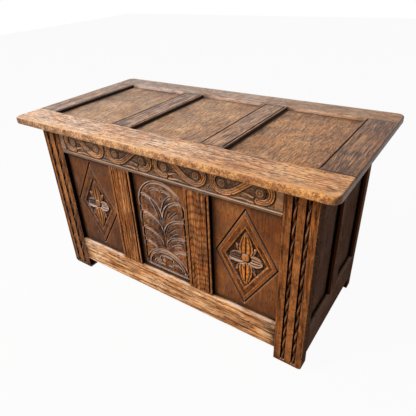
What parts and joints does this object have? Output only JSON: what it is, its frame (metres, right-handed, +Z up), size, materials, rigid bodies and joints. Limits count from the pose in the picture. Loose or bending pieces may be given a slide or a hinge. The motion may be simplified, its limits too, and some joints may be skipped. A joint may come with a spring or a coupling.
{
  "type": "coffer chest",
  "caption": "Joined oak coffer with carved and panelled front, plain panelled sides and back, boarded floor and a panelled overhanging lid on butt hinges.",
  "frame": {"origin": "on the floor under the middle of the lid", "axes": "+X along the front towards its right-hand end as seen from the front, -Y out of the carved front, +Z up"},
  "size_m": [1.12, 0.588, 0.64],
  "materials": {
    "oak_front": "waxed, worn",
    "oak_carved_panel": "waxed, dark",
    "oak_side": "dry, dark",
    "oak_back": "dry, unpolished",
    "oak_floor": "dry, unpolished",
    "oak_lid": "waxed, worn",
    "oak_lid_panel": "waxed, worn",
    "oak_peg": "waxed",
    "wrought_iron": "dull, hand worked"
  },
  "bodies": {
    "carcase": {"back_bottom_rail": "oak_back", "back_centre_panel": "oak_back", "back_left_muntin": "oak_back", "back_left_panel": "oak_back", "back_pegs": "oak_peg", "back_right_muntin": "oak_back", "back_right_panel": "oak_back", "back_top_rail": "oak_back", "bearer_nails": "wrought_iron", "floor_bearer_front": "oak_floor", "floor_bearer_rear": "oak_floor", "floor_board_1": "oak_floor", "floor_board_2": "oak_floor", "floor_board_3": "oak_floor", "floor_board_4": "oak_floor", "floor_board_5": "oak_floor", "floor_nails": "wrought_iron", "front_bottom_rail": "oak_front", "front_centre_panel": "oak_carved_panel", "front_left_muntin": "oak_front", "front_left_panel": "oak_carved_panel", "front_left_stile": "oak_front", "front_pegs": "oak_peg", "front_right_muntin": "oak_front", "front_right_panel": "oak_carved_panel", "front_right_stile": "oak_front", "front_top_rail": "oak_front", "hinge_carcase_screws": "wrought_iron", "left_bottom_rail": "oak_side", "left_front_panel": "oak_side", "left_hinge_carcase_leaf": "wrought_iron", "left_hinge_pin": "wrought_iron", "left_muntin": "oak_side", "left_pegs": "oak_peg", "left_rear_panel": "oak_side", "left_top_rail": "oak_side", "rear_left_stile": "oak_back", "rear_right_stile": "oak_back", "right_bottom_rail": "oak_side", "right_front_panel": "oak_side", "right_hinge_carcase_leaf": "wrought_iron", "right_hinge_pin": "wrought_iron", "right_muntin": "oak_side", "right_pegs": "oak_peg", "right_rear_panel": "oak_side", "right_top_rail": "oak_side"},
    "lid": {"hinge_lid_screws": "wrought_iron", "left_hinge_lid_leaf": "wrought_iron", "lid_back_rail": "oak_lid", "lid_centre_panel": "oak_lid_panel", "lid_front_rail": "oak_lid", "lid_left_end": "oak_lid", "lid_left_muntin": "oak_lid", "lid_left_panel": "oak_lid_panel", "lid_pegs": "oak_peg", "lid_right_end": "oak_lid", "lid_right_muntin": "oak_lid", "lid_right_panel": "oak_lid_panel", "right_hinge_lid_leaf": "wrought_iron"}
  },
  "joints": [
    {"name": "lid_hinge", "type": "hinge", "parent": "carcase", "child": "lid", "pos_m": [0, 0.234, 0.618], "axis": [-1, 0, 0], "range_deg": [0, 94]}
  ]
}
